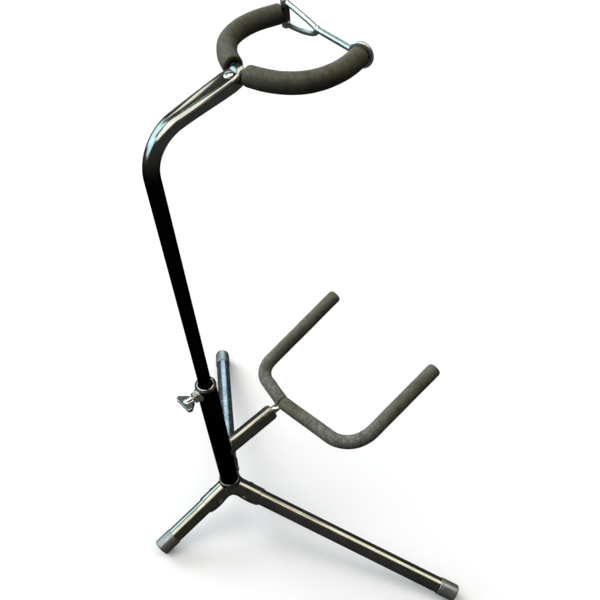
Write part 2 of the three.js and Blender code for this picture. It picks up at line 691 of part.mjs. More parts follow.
addMesh(upright, "lower_tube", lowerTube(), BLACK_CHROME);
addMesh(upright, "collar_bush", collarBush(), BLACK_PLASTIC);
addMesh(upright, "guide_bush", guideBush(), BLACK_PLASTIC);
addMesh(upright, "clamp_nut", clampNut(), BRIGHT_NICKEL);
addMesh(upright, "bolt_shank", boltShank(), BRIGHT_NICKEL);
addMesh(upright, "wing_head", wingHead(), BRIGHT_NICKEL);
addMesh(upright, "upper_tube", upperTube(), BLACK_CHROME);
addMesh(upright, "neck_rivet", neckRivet(), BRIGHT_NICKEL);
addMesh(upright, "yoke_rod", yokeRod(), ROD_STEEL);
addMesh(upright, "yoke_sleeve_right", yokeSleeve(1), FOAM);
addMesh(upright, "yoke_sleeve_left", yokeSleeve(-1), FOAM);
addMesh(upright, "gate", gate(), SATIN_CHROME);
addMesh(upright, "gate_pin", gatePin(), BRIGHT_NICKEL);

const stem = new THREE.Group();
stem.position.z = STEM.height;
stem.rotation.x = degToRad(90 - STEM.rise);
upright.add(stem);

addMesh(stem, "stem_tube", stemTube(), BLACK_CHROME);
addMesh(stem, "stem_bush", stemBush(), BLACK_CHROME);
addMesh(stem, "cradle_pin", cradlePin(), BRIGHT_NICKEL);
addMesh(stem, "cradle_rod", cradleRod(), ROD_STEEL);
addMesh(stem, "cradle_sleeve_right", cradleSleeve(1), FOAM);
addMesh(stem, "cradle_sleeve_left", cradleSleeve(-1), FOAM);

// The floor point under the middle of the stand is the origin.
const extent = new THREE.Box3().setFromObject(stand, true);
stand.position.set(-(extent.min.x + extent.max.x) / 2, -(extent.min.y + extent.max.y) / 2, 0);

export default stand;
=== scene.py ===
import json
import math

import bmesh
import bpy
from mathutils import Matrix, Vector, noise


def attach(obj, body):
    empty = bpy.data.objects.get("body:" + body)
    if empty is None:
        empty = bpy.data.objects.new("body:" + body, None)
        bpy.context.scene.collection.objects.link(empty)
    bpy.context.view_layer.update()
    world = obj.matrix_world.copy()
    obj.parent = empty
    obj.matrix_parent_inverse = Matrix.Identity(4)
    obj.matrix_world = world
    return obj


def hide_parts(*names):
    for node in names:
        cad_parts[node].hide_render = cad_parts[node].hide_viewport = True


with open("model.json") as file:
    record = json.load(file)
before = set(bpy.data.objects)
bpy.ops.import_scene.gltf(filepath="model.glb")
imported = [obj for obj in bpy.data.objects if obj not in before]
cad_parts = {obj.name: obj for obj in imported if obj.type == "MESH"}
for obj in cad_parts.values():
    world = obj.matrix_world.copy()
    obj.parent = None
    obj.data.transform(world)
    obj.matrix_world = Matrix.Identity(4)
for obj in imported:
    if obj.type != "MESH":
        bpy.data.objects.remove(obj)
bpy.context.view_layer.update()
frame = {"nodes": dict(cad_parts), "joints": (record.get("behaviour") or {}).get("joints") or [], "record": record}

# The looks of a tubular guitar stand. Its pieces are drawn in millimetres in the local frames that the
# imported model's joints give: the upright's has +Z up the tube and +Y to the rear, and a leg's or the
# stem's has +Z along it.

MM = 0.001

# ---- sizes in millimetres

SIDES = 96  # round a tube or a sleeve
SMALL_SIDES = 48  # round a rivet, a bush's bore or a rod
GAP = 0.3
LEG_TURNS = {"rear": 90, "left": 210, "right": 330}
LEG_DROOP = 18.5
LEG_PIVOT = 28
HUB = {"wall": 1.1, "fillet": 16, "mouth": 47.5, "radius": 12.5, "lip": 1.7, "lip_height": 14.5}
SKIRT = {"centre": 6, "arm": 9}
LEG_RIVET = {"radius": 2.4, "head": 3.7, "height": 1.4}
TUBE_WALL = 1.5
LEG_WALL = 1.2
BEND = {"start": 532, "radius": 45, "angle": 77}
NECK = {"length": 71, "half_width": 11.5, "half_thickness": 5.6}
TIP = {"past": 6.5, "half_width": 9.6, "half_thickness": 8.2, "drop": 2.2, "taper": 14}
NECK_RIVET = {"radius": 2.2, "head": 4.6, "height": 1.5, "back": 9}
DISH = 1.6  # depth of the pressed hollow round the neck's rivet
STEM = {"reach": 106, "length": 85, "wall": 1.3}
STEM_BUSH = {"bore": 5.9, "radius": 9.5}
CRADLE = {"rise": 11.5, "bow": 8}
RIGHT_SIDE = {"width": 63, "corner": 24, "reach": 163.5}
LEFT_SIDE = {"width": 126, "corner": 45, "reach": 172.3}
YOKE = {"half_width": 57, "depth": 91, "tail": 4.8, "root": 11.2}
FOAM = {"cradle": 9.4, "yoke": 9.6, "wall": 4.0, "tip": 5.0}
BARREL = {"radius": 4.3, "half_height": 7.3}
GATE = {"level": 11.2, "prong": 2.6, "bar": 3.0, "fork": 48, "disc": 12.5, "thickness": 4.5}
GATE_PIN = {"radius": 1.9, "head": 3.6, "height": 1.4}
BOLT = 3.0
WING = {"start": 21, "end": 32, "boss": 5.6, "reach": 11.8, "lobe": 3.8, "thickness": 5.0, "turn": 10}

# ---- local frames

JOINTS = {joint["name"]: joint for joint in frame["joints"]}
RECORD = frame["record"]
BODY_OF = {node: body for body, nodes in RECORD["behaviour"]["bodies"].items() for node in nodes}
SLOT_OF = {part["node"]: part["material_slot"] for part in RECORD["subparts"]}


def frame_along(joint, side):
    """A frame at a joint with +Z along its axis and +X along the given side."""
    z = Vector(JOINTS[joint]["axis"]).normalized()
    x = (side - z * side.dot(z)).normalized()
    rotation = Matrix((x, z.cross(x), z)).transposed().to_4x4()
    return Matrix.Translation(JOINTS[joint]["pos_m"]) @ rotation


def leg_frame(name):
    """A leg's frame: from the hub's centre, +Z along the leg and +Y along its hinge."""
    z = (Vector(JOINTS[f"fold_{name}"]["pos_m"]) - HUB_CENTRE).normalized()
    y = Vector(JOINTS[f"fold_{name}"]["axis"]).normalized()
    rotation = Matrix((y.cross(z), y, z)).transposed().to_4x4()
    return Matrix.Translation(HUB_CENTRE) @ rotation


RIGHT = Vector((1, 0, 0))
UPRIGHT = frame_along("head_swivel", RIGHT)
HUB_CENTRE = UPRIGHT.translation.copy()
STEM_FRAME = frame_along("cradle_swivel", RIGHT)
CLAMP_FRAME = frame_along("wing_turn", RIGHT)
LEG_FRAMES = {name: leg_frame(name) for name in LEG_TURNS}


def moved(place, point):
    """A frame moved to a point of its own, in millimetres."""
    return place @ Matrix.Translation(point * MM)


def span(node, place):
    """Lowest and highest corner of a CAD node in a local frame, in millimetres."""
    inverse = place.inverted()
    points = [inverse @ vertex.co / MM for vertex in frame["nodes"][node].data.vertices]
    low = Vector([min(point[i] for point in points) for i in range(3)])
    high = Vector([max(point[i] for point in points) for i in range(3)])
    return low, high


# ---- outlines and routes


def softened(outline, radius, closed=True):
    """An outline of (along, radius) corners with each corner rounded off."""
    corners = [Vector(corner) for corner in outline]
    result = []
    for i, corner in enumerate(corners):
        if not closed and i in (0, len(corners) - 1):
            result.append(corner)
            continue
        before = corners[i - 1] - corner
        after = corners[(i + 1) % len(corners)] - corner
        start = corner + before.normalized() * min(radius, before.length * 0.45)
        end = corner + after.normalized() * min(radius, after.length * 0.45)
        for step in range(5):
            t = step / 4
            result.append(start * (1 - t) ** 2 + corner * 2 * t * (1 - t) + end * t**2)
    return result


def subdivided(outline, step):
    """The outline with extra points, so that no run along it is longer than step."""
    corners = [Vector(corner) for corner in outline]
    result = [corners[0]]
    for here, there in zip(corners, corners[1:]):
        count = max(1, math.ceil((there - here).length / step))
        result += [here.lerp(there, i / count) for i in range(1, count + 1)]
    return result


def smoothstep(value, low, high):
    t = min(1, max(0, (value - low) / (high - low)))
    return t * t * (3 - 2 * t)


def mix(a, b, t):
    return a + (b - a) * t


def arc(centre, radius, start, end, steps):
    """Points on a flat arc, with its angles in degrees."""
    turns = [math.radians(mix(start, end, i / steps)) for i in range(steps + 1)]
    return [Vector((centre[0] + radius * math.cos(a), centre[1] + radius * math.sin(a))) for a in turns]


class Straight:
    """A route along +Z."""

    def at(self, along):
        return Vector((0, 0, along)), Vector((1, 0, 0)), Vector((0, 1, 0))


class FlatRoute:
    """A smooth route through points in a plane, with the plane's normal."""

    def __init__(self, points, normal):
        self.points = points
        self.normal = normal
        self.marks = [0.0]
        for here, there in zip(points, points[1:]):
            self.marks.append(self.marks[-1] + (there - here).length)
        self.length = self.marks[-1]
        self.index = 0

    def at(self, along):
        """The centre at a distance from the start, the side direction and the plane's normal."""
        while self.index > 0 and self.marks[self.index] > along:
            self.index -= 1
        while self.index + 2 < len(self.marks) and self.marks[self.index + 1] < along:
            self.index += 1
        i = self.index
        t = (along - self.marks[i]) / (self.marks[i + 1] - self.marks[i])
        centre = self.points[i] + (self.points[i + 1] - self.points[i]) * t
        before = self.points[i + 1] - self.points[max(0, i - 1)]
        after = self.points[min(len(self.points) - 1, i + 2)] - self.points[i]
        tangent = before.lerp(after, min(1, max(0, t))).normalized()
        return centre, tangent.cross(self.normal), self.normal


# ---- meshes


def ring_faces(rings, count, closed):
    """Quads between neighbouring rings of points, and from the last to the first if closed."""
    faces = []
    for ring in range(rings if closed else rings - 1):
        lower = ring * count
        upper = (ring + 1) % rings * count
        for i in range(count):
            j = (i + 1) % count
            faces.append((lower + i, lower + j, upper + j, upper + i))
    return faces


def shut_stack(points, count):
    """Faces of a stack of rings, shut by a flat face at each end."""
    total = len(points)
    ends = [tuple(reversed(range(count))), tuple(range(total - count, total))]
    return ring_faces(total // count, count, False) + ends


def lathe(outline, sides=SIDES, route=Straight(), swell=None):
    """Points and faces of an outline of (along, radius) corners turned about a route. An outline that
    starts off the axis is a wall round a bore, and its end joins its start."""
    closed = outline[0][1] > 0.001
    points = []
    for along, radius in outline:
        centre, side, up = route.at(along)
        for i in range(sides):
            angle = 2 * math.pi * i / sides
            out = radius + (swell(along, angle, radius) if swell and radius > 0 else 0)
            points.append(centre + (side * math.cos(angle) + up * math.sin(angle)) * out)
    return points, ring_faces(len(outline), sides, closed)


def added(name, data):
    """A new object in the scene."""
    piece = bpy.data.objects.new(name, data)
    bpy.context.scene.collection.objects.link(piece)
    return piece


def solid(name, points, faces, place, sharp=35):
    """A smooth-shaded mesh object from millimetre points in a local frame."""
    mesh = bpy.data.meshes.new(name)
    mesh.from_pydata([point * MM for point in points], [], faces)
    work = bmesh.new()
    work.from_mesh(mesh)
    bmesh.ops.remove_doubles(work, verts=work.verts, dist=0.002 * MM)
    bmesh.ops.recalc_face_normals(work, faces=work.faces)
    work.to_mesh(mesh)
    work.free()
    piece = added(name, mesh)
    piece.matrix_world = place
    shade(piece, sharp)
    return piece


def shade(piece, sharp):
    """Smooth shading, apart from edges sharper than the given angle."""
    piece.data.shade_smooth()
    piece.data.set_sharp_from_angle(angle=math.radians(sharp))


def settle(piece):
    """Applies a piece's modifiers."""
    graph = bpy.context.evaluated_depsgraph_get()
    graph.update()
    mesh = bpy.data.meshes.new_from_object(piece.evaluated_get(graph))
    piece.modifiers.clear()
    piece.data = mesh


def combine(piece, tool, operation):
    """A boolean with a tool, which is used up."""
    modifier = piece.modifiers.new("combine", "BOOLEAN")
    modifier.operation = operation
    modifier.solver = "EXACT"
    modifier.object = tool
    settle(piece)
    bpy.data.objects.remove(tool)


def cut(piece, tool):
    combine(piece, tool, "DIFFERENCE")


def join(piece, tool):
    combine(piece, tool, "UNION")


def cast(piece, grain, passes):
    """Turns overlapping solids into one body with the soft inner corners of a casting."""
    remesh = piece.modifiers.new("cast", "REMESH")
    remesh.mode = "VOXEL"
    remesh.voxel_size = grain * MM
    soften = piece.modifiers.new("soften", "SMOOTH")
    soften.iterations = passes
    settle(piece)
    shade(piece, 60)


def mark(piece, name, value):
    """Gives each point a number, worked out from its place, that a material can read."""
    layer = piece.data.attributes.new(name, "FLOAT", "POINT")
    layer.data.foreach_set("value", [value(vertex.co / MM) for vertex in piece.data.vertices])


def rod(name, radius, start, end, place, sides=SMALL_SIDES):
    """A plain rod along +Z, for booleans."""
    outline = [(start, 0), (start, radius), (end, radius), (end, 0)]
    return solid(name, *lathe(outline, sides), place)


def block(name, low, high):
    """A plain block between two corners of the scene, for booleans."""
    xs, ys, zs = zip(low, high)
    points = [Vector((x, y, z)) for x in xs for y in ys for z in zs]
    faces = [(0, 1, 3, 2), (4, 6, 7, 5), (0, 4, 5, 1), (2, 3, 7, 6), (0, 2, 6, 4), (1, 5, 7, 3)]
    return solid(name, points, faces, Matrix())


def stand_in(piece, material=None):
    """Lets a piece stand for the CAD node it's named after, with that node's body and finish, or with
    the finish given."""
    node = piece.name.removesuffix("_fine")
    piece.data.materials.clear()
    piece.data.materials.append(material or FINISHES[SLOT_OF[node]])
    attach(piece, BODY_OF[node])
    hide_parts(node)


# ---- materials


class Surface:
    """A Principled material and short calls for its node tree."""

    def __init__(self, name, **settings):
        self.material = bpy.data.materials.new(name)
        self.material.use_nodes = True
        self.nodes = self.material.node_tree.nodes
        self.shader = self.nodes["Principled BSDF"]
        for socket, value in settings.items():
            self.shader.inputs[socket.replace("_", " ")].default_value = value

    def link(self, source, target):
        self.material.node_tree.links.new(source, target)

    def places(self, stretch=(1, 1, 1)):
        """The piece's own coordinates, in metres, stretched along its axes."""
        coordinates = self.nodes.new("ShaderNodeTexCoord")
        mapping = self.nodes.new("ShaderNodeMapping")
        mapping.inputs["Scale"].default_value = stretch
        self.link(coordinates.outputs["Object"], mapping.inputs["Vector"])
        return mapping.outputs["Vector"]

    def noise(self, scale, detail=4, rough=0.55, stretch=(1, 1, 1)):
        texture = self.nodes.new("ShaderNodeTexNoise")
        texture.inputs["Scale"].default_value = scale
        texture.inputs["Detail"].default_value = detail
        texture.inputs["Roughness"].default_value = rough
        self.link(self.places(stretch), texture.inputs["Vector"])
        return texture.outputs["Fac"]

    def cells(self, scale):
        texture = self.nodes.new("ShaderNodeTexVoronoi")
        texture.inputs["Scale"].default_value = scale
        self.link(self.places(), texture.inputs["Vector"])
        return texture.outputs["Distance"]

    def attribute(self, name):
        node = self.nodes.new("ShaderNodeAttribute")
        node.attribute_name = name
        return node.outputs["Fac"]

    def between(self, value, low, high, start=0.0, end=1.0):
        """A value rescaled from low..high to start..end and held there."""
        node = self.nodes.new("ShaderNodeMapRange")
        for socket, number in zip(("From Min", "From Max", "To Min", "To Max"), (low, high, start, end)):
            node.inputs[socket].default_value = number
        self.link(value, node.inputs["Value"])
        return node.outputs["Result"]

    def times(self, a, b):
        node = self.nodes.new("ShaderNodeMath")
        node.operation = "MULTIPLY"
        self.link(a, node.inputs[0])
        self.link(b, node.inputs[1])
        return node.outputs[0]

    def colour(self, factor, first, second):
        """A mix of two colours, either of which may be an earlier mix."""
        node = self.nodes.new("ShaderNodeMix")
        node.data_type = "RGBA"
        self.link(factor, node.inputs["Factor"])
        for socket, value in ((node.inputs[6], first), (node.inputs[7], second)):
            if isinstance(value, tuple):
                socket.default_value = (*value, 1)
            else:
                self.link(value, socket)
        return node.outputs[2]

    def paint(self, value):
        self.link(value, self.shader.inputs["Base Color"])

    def roughen(self, value):
        self.link(value, self.shader.inputs["Roughness"])

    def bump(self, height, depth, strength=1.0):
        """Adds a layer of relief of the given depth in millimetres."""
        node = self.nodes.new("ShaderNodeBump")
        node.inputs["Strength"].default_value = strength
        node.inputs["Distance"].default_value = depth * MM
        self.link(height, node.inputs["Height"])
        normal = self.shader.inputs["Normal"]
        if normal.is_linked:
            self.link(normal.links[0].from_socket, node.inputs["Normal"])
        self.link(node.outputs["Normal"], normal)


def gloss_black():
    """Black plating, dark and deep, with fine drawing lines, smears and a few dusty specks. From the bend on,
    where the neck is pressed flat, the plating is drawn far brighter: a painted sheen that stands in for how the
    bend and neck are lit."""
    s = Surface("gloss_black", Metallic=1.0, Specular_Tint=(0.15, 0.15, 0.15, 1))
    smears = s.between(s.noise(16, 5, stretch=(1, 1, 0.25)), 0.42, 0.68)
    specks = s.between(s.noise(900, 2), 0.72, 0.8)
    tone = s.colour(smears, (0.010, 0.010, 0.0092), (0.018, 0.0175, 0.016))
    # Painted sheen: a far brighter plating tone for the bend and neck, standing in for how they are lit.
    bright = s.colour(smears, (0.36, 0.35, 0.30), (0.46, 0.45, 0.385))
    tone = s.colour(s.attribute("thin"), tone, bright)
    s.paint(s.colour(specks, tone, (0.06, 0.058, 0.052)))
    s.roughen(s.between(s.noise(30, 6), 0.35, 0.7, 0.13, 0.25))
    s.bump(s.noise(700, 3, stretch=(1, 1, 0.02)), 0.02, 0.15)
    s.bump(s.noise(60, 3), 0.12, 0.2)
    return s.material


def smoked_chrome():
    """Smoky chrome with an olive cast, rubbed cloudy in patches."""
    s = Surface("smoked_chrome", Metallic=1.0, Specular_Tint=(0.55, 0.54, 0.5, 1))
    clouds = s.between(s.noise(22, 6), 0.38, 0.66)
    specks = s.between(s.noise(1100, 2), 0.7, 0.78)
    tone = s.colour(clouds, (0.31, 0.296, 0.238), (0.44, 0.42, 0.342))
    s.paint(s.colour(specks, tone, (0.14, 0.134, 0.11)))
    s.roughen(s.between(s.noise(45, 6), 0.35, 0.7, 0.12, 0.24))
    s.bump(s.noise(650, 3, stretch=(1, 1, 0.03)), 0.01, 0.15)
    s.bump(s.noise(55, 3), 0.08, 0.2)
    return s.material


def worn_chrome():
    """Pale chrome, pitted and grimy in streaks along the tube."""
    s = Surface("worn_chrome", Metallic=1.0, Specular_Tint=(0.7, 0.7, 0.7, 1))
    clouds = s.between(s.noise(30, 6), 0.4, 0.62)
    pits = s.between(s.noise(520, 5, 0.7), 0.52, 0.6)
    streaks = s.between(s.noise(140, 5, 0.65, stretch=(1, 1, 0.3)), 0.46, 0.6)
    tone = s.colour(clouds, (0.30, 0.30, 0.298), (0.46, 0.46, 0.455))
    s.paint(s.colour(s.times(pits, streaks), tone, (0.050, 0.040, 0.028)))
    s.roughen(s.between(pits, 0, 1, 0.2, 0.6))
    s.bump(pits, -0.05, 0.6)
    return s.material


def bright_nickel():
    """Warm bright plate over a casting, with soft ripples and rubbed edges."""
    s = Surface("bright_nickel", Metallic=1.0)
    clouds = s.between(s.noise(120, 4), 0.35, 0.7)
    stains = s.between(s.noise(420, 4, 0.7), 0.64, 0.72)
    tone = s.colour(clouds, (0.92, 0.88, 0.76), (0.76, 0.73, 0.63))
    s.paint(s.colour(stains, tone, (0.34, 0.32, 0.26)))
    s.roughen(s.between(s.noise(300, 5), 0.3, 0.7, 0.15, 0.28))
    s.bump(s.noise(260, 3), 0.06, 0.25)
    return s.material


def rod_steel():
    """Drawn steel rod, dull and slightly oxidised."""
    s = Surface("rod_steel", Metallic=1.0)
    rust = s.between(s.noise(300, 6, 0.7), 0.52, 0.7)
    s.paint(s.colour(rust, (0.13, 0.13, 0.125), (0.075, 0.055, 0.04)))
    s.roughen(s.between(s.noise(500, 4), 0.3, 0.7, 0.3, 0.5))
    s.bump(s.noise(900, 3), 0.04, 0.4)
    return s.material


def foam(name, dark, light, patch_tone):
    """Closed-cell foam: a fine pored skin, mottled, with dark nicks and pale patches where a piece is marked for
    them. On the cradle those patches are rubbed wear with a painted bluish sheen of window light.
    """
    s = Surface(name, Specular_IOR_Level=0.3)
    mottling = s.between(s.noise(70, 7, 0.6), 0.32, 0.68)
    tone = s.colour(mottling, dark, light)
    # Pale patches where the piece is marked for them. The cradle's bluish grey patch tone is partly a painted
    # sheen of window light.
    rubbed = s.times(s.attribute("wear"), s.between(s.noise(200, 7, 0.7), 0.42, 0.66))
    tone = s.colour(rubbed, tone, patch_tone)
    nicks = s.between(s.noise(340, 5, 0.75), 0.62, 0.68)
    tone = s.colour(nicks, tone, tuple(0.45 * value for value in dark))
    lint = s.between(s.noise(1500, 2), 0.76, 0.8)
    s.paint(s.colour(lint, tone, (0.24, 0.235, 0.21)))
    s.roughen(s.between(s.noise(160, 5), 0.3, 0.7, 0.55, 0.8))
    s.bump(s.cells(2300), 0.09, 0.5)
    s.bump(s.noise(900, 4), 0.16, 0.55)
    s.bump(nicks, -0.3, 0.6)
    s.bump(s.noise(90, 4), 0.6, 0.4)
    return s.material


def foot_rubber():
    """Polished moulded rubber with dust in its grain and rubbed edges."""
    s = Surface("foot_rubber", Specular_IOR_Level=1.0, IOR=2.1)
    dust = s.between(s.noise(90, 6, 0.65), 0.4, 0.68)
    grime = s.between(s.noise(380, 5, 0.7), 0.58, 0.68)
    tone = s.colour(dust, (0.070, 0.065, 0.047), (0.120, 0.112, 0.086))
    s.paint(s.colour(grime, tone, (0.055, 0.052, 0.043)))
    s.roughen(s.between(s.noise(200, 5), 0.3, 0.7, 0.26, 0.45))
    s.bump(s.noise(1600, 3), 0.05, 0.4)
    s.bump(s.noise(120, 4), 0.3, 0.25)
    return s.material


def black_plastic():
    """Glossy moulded plastic, faintly scratched."""
    s = Surface("black_plastic", Specular_IOR_Level=0.6)
    scratches = s.between(s.noise(350, 6, 0.75, stretch=(1, 1, 0.15)), 0.56, 0.64)
    s.paint(s.colour(scratches, (0.012, 0.012, 0.012), (0.045, 0.044, 0.04)))
    s.roughen(s.between(s.noise(240, 5), 0.3, 0.7, 0.16, 0.32))
    s.bump(s.noise(500, 4), 0.05, 0.3)
    return s.material


def satin_chrome():
    """Satin chrome on the gate's casting, cloudy and rubbed."""
    s = Surface("satin_chrome", Metallic=1.0, Specular_Tint=(0.8, 0.79, 0.76, 1))
    clouds = s.between(s.noise(130, 6), 0.38, 0.66)
    s.paint(s.colour(clouds, (0.56, 0.55, 0.50), (0.76, 0.75, 0.70)))
    s.roughen(s.between(s.noise(240, 5), 0.3, 0.7, 0.27, 0.40))
    s.bump(s.noise(320, 4), 0.04, 0.2)
    return s.material


FINISHES = {
    "gloss_black": gloss_black(),
    "black_chrome": smoked_chrome(),
    "worn_chrome": worn_chrome(),
    "nickel": bright_nickel(),
    "rod_steel": rod_steel(),
    "foot_rubber": foot_rubber(),
    "black_plastic": black_plastic(),
    "satin_chrome": satin_chrome(),
}
YOKE_FOAM = foam("yoke_foam", (0.058, 0.050, 0.029), (0.088, 0.078, 0.049), (0.140, 0.132, 0.105))
# The cradle's pale patch tone is a cool bluish grey. It is rubbed wear together with a painted sheen of window
# light on the corners' flanks.
CRADLE_FOAM = foam("cradle_foam", (0.062, 0.053, 0.033), (0.118, 0.105, 0.072), (0.200, 0.203, 0.203))


# ---- hub and legs


def skirt_depth(x):
    """How far the hub's side wall hangs below its shoulder, x along the arm."""
    depth = mix(SKIRT["centre"], SKIRT["arm"], smoothstep(x, 12, LEG_PIVOT))
    past = max(0, x - LEG_PIVOT) / (HUB["mouth"] - LEG_PIVOT)
    return depth * math.sqrt(max(0, 1 - past**2))


def hub_column(ridge_x, edge, radius):
    """Points across the hub's skin: from an arm's ridge over the shoulder and down the skirt."""
    slope = math.tan(math.radians(LEG_DROOP))
    ridge = radius / math.cos(math.radians(LEG_DROOP))
    shoulder = -edge.x * slope
    top = -ridge_x * slope + ridge
    points = []
    for i in range(17):
        angle = i / 16 * math.pi / 2
        across = math.sin(angle)
        height = mix(shoulder, top, math.cos(angle))
        points.append(Vector((mix(ridge_x, edge.x, across), edge.y * across, height)))
    depth = skirt_depth(edge.x)
    points += [Vector((edge.x, edge.y, shoulder - depth * i / 5)) for i in range(1, 6)]
    return points


def hub_web(radius, fillet):
    """The columns of a web, from the arm along +X to the arm 120 degrees on."""
    tangent = (radius + fillet) / math.sqrt(3)
    columns = []
    for i in range(25):
        x = mix(HUB["mouth"], tangent, (i / 24) ** 1.4)
        columns.append(hub_column(x, Vector((x, radius)), radius))
    for i in range(1, 17):
        turn = math.radians(-90 - 30 * i / 16)
        edge = Vector((tangent + fillet * math.cos(turn), radius + fillet + fillet * math.sin(turn)))
        columns.append(hub_column(tangent * (1 - i / 16), edge, radius))
    cosine, sine = math.cos(math.radians(120)), math.sin(math.radians(120))
    mirrored = [
        [Vector((p.x * cosine + p.y * sine, p.x * sine - p.y * cosine, p.z)) for p in column]
        for column in reversed(columns[:-1])
    ]
    return columns + mirrored


def hub_shell():
    """The pressed channel: outer and inner skins of three webs, closed along their edges."""
    outer = hub_web(HUB["radius"], HUB["fillet"])
    inner = hub_web(HUB["radius"] - HUB["wall"], HUB["fillet"] + HUB["wall"])
    rows = len(outer[0])
    last = len(outer) - 1
    quads = []
    for i in range(last):
        for j in range(rows - 1):
            quads.append((outer[i][j], outer[i][j + 1], outer[i + 1][j + 1], outer[i + 1][j]))
            quads.append((inner[i][j], inner[i + 1][j], inner[i + 1][j + 1], inner[i][j + 1]))
        quads.append((outer[i][-1], inner[i][-1], inner[i + 1][-1], outer[i + 1][-1]))
    for j in range(rows - 1):
        quads.append((outer[0][j], inner[0][j], inner[0][j + 1], outer[0][j + 1]))
        quads.append((outer[last][j], outer[last][j + 1], inner[last][j + 1], inner[last][j]))
    points, faces = [], []
    for turn in LEG_TURNS.values():
        spin = Matrix.Rotation(math.radians(turn), 3, "Z")
        for quad in quads:
            faces.append(tuple(range(len(points), len(points) + 4)))
            points += [spin @ point for point in quad]
    return points, faces


def hub_spider():
    """The hub with its raised lip round the upright and a rivet hole through each arm."""
    tube = span("lower_tube", UPRIGHT)[1].x
    bore = tube + GAP
    height = HUB["lip_height"]
    lip = softened([(3, bore - 0.1), (3, bore + 3.2), (height - 2.2, bore + HUB["lip"] + 0.3),
                    (height, bore + HUB["lip"]), (height, bore - 0.1)], 1.0)
    hub = solid("hub_spider_fine", *hub_shell(), UPRIGHT)
    join(hub, solid("lip", *lathe(lip), UPRIGHT))
    cast(hub, grain=0.45, passes=6)
    cut(hub, rod("bore", bore, -30, 30, UPRIGHT, sides=SIDES))
    for leg in LEG_TURNS:
        cut(hub, rivet_hole(leg))
    shade(hub, 50)
    stand_in(hub)


def rivet_frame(name):
    """The frame of a leg's rivet: at the leg's hinge, with +Z along it."""
    return moved(LEG_FRAMES[name], Vector((0, 0, LEG_PIVOT))) @ Matrix.Rotation(-math.pi / 2, 4, "X")


def rivet_hole(name):
    return rod("hole", LEG_RIVET["radius"] + GAP, -20, 20, rivet_frame(name))


def leg_tube(name):
    """A leg tube, domed round its rivet at the inner end and open at the foot."""
    node = f"leg_tube_{name}"
    place = LEG_FRAMES[name]
    high = span(node, place)[1]
    radius = high.y
    bore = radius - LEG_WALL
    outer = subdivided([(LEG_PIVOT, radius), (high.z, radius)], 40)
    outline = dome(LEG_PIVOT, radius) + outer[1:] + [Vector((high.z, bore))]
    outline += reversed(dome(LEG_PIVOT, bore))
    tube = solid(f"{node}_fine", *lathe(outline), place)
    cut(tube, rivet_hole(name))
    shade(tube, 40)
    stand_in(tube)


def dome(centre, radius):
    """A quarter circle of (along, radius) corners, from the axis out to the full radius."""
    turns = [math.radians(90 * i / 16) for i in range(17)]
    return [Vector((centre - radius * math.cos(turn), radius * math.sin(turn))) for turn in turns]


def foot_cap(name):
    """A rubber cap with a slim rim, a shallow groove and an end worn flat on the floor."""
    node = f"foot_cap_{name}"
    place = LEG_FRAMES[name]
    low, high = span(node, place)
    radius = high.y
    bore = span(f"leg_tube_{name}", place)[1].y + GAP
    start, end = low.z, high.z
    floor_wall = 3.5
    mouth = [(start, bore), (start, radius - 0.5), (start + 0.8, radius)]
    groove = [(start + 3.4, radius), (start + 3.8, radius - 0.35), (start + 4.2, radius)]
    rounding = [(end - 2.0, radius - 0.1), (end - 0.6, radius - 1.0), (end, radius - 2.6)]
    inside = [(end, 0), (end - floor_wall, 0), (end - floor_wall, bore)]
    outline = softened(mouth + groove + rounding + inside, 0.5)
    cap = solid(f"{node}_fine", *lathe(outline), place)
    cut(cap, block("ground", (-500, -500, -40), (500, 500, 0)))
    shade(cap, 40)
    stand_in(cap)


def rivet_outline(radius, head, height, reach):
    """A rivet's outline: a domed head at each end of a shank."""
    turns = [math.radians(90 * i / 10) for i in range(2, 11)]
    upper = [(reach, radius), (reach, head * 0.97), (reach + height * 0.12, head)]
    upper += [(reach + height * math.sin(turn), head * math.cos(turn)) for turn in turns]
    lower = [(-along, out) for along, out in reversed(upper)]
    return [Vector(corner) for corner in lower + upper]


def leg_rivet(name):
    node = f"leg_rivet_{name}"
    reach = HUB["radius"] + GAP / 2
    outline = rivet_outline(LEG_RIVET["radius"], LEG_RIVET["head"], LEG_RIVET["height"], reach)
    stand_in(solid(f"{node}_fine", *lathe(outline, SMALL_SIDES), rivet_frame(name)))


# ---- upright and clamp


def lower_tube():
    low, high = span("lower_tube", UPRIGHT)
    radius = high.x
    outline = softened([(low.z, radius - TUBE_WALL), (low.z, radius), (high.z, radius),
                        (high.z, radius - TUBE_WALL)], 0.6)
    stand_in(solid("lower_tube_fine", *lathe(outline), UPRIGHT))


def collar_bush():
    """The bush in the lower tube's mouth: a black flange with a bright plated ring round its bore."""
    low, high = span("collar_bush", UPRIGHT)
    bore = span("guide_bush", UPRIGHT)[1].x - 2.9
    rim, top = high.x, high.z
    seat = top - 3.6
    ring = [(top - 1.2, bore + 2.9), (top - 0.4, bore + 2.6), (top, bore + 2.0), (top - 0.2, bore + 1.2),
            (top - 1.6, bore + 0.5), (top - 4, bore)]
    outline = softened([(low.z, bore), (low.z, 10.9), (seat, 10.9), (seat, rim), (top - 1.9, rim),
                        (top - 1.3, rim - 0.6)] + ring, 0.4)
    bush = solid("collar_bush_fine", *lathe(outline), UPRIGHT)
    stand_in(bush)
    bush.data.materials.append(FINISHES["nickel"])
    for face in bush.data.polygons:
        out = Vector(face.center.xy).length / MM
        if out < bore + 2.7 and face.center.z / MM > top - 1.5:
            face.material_index = 1


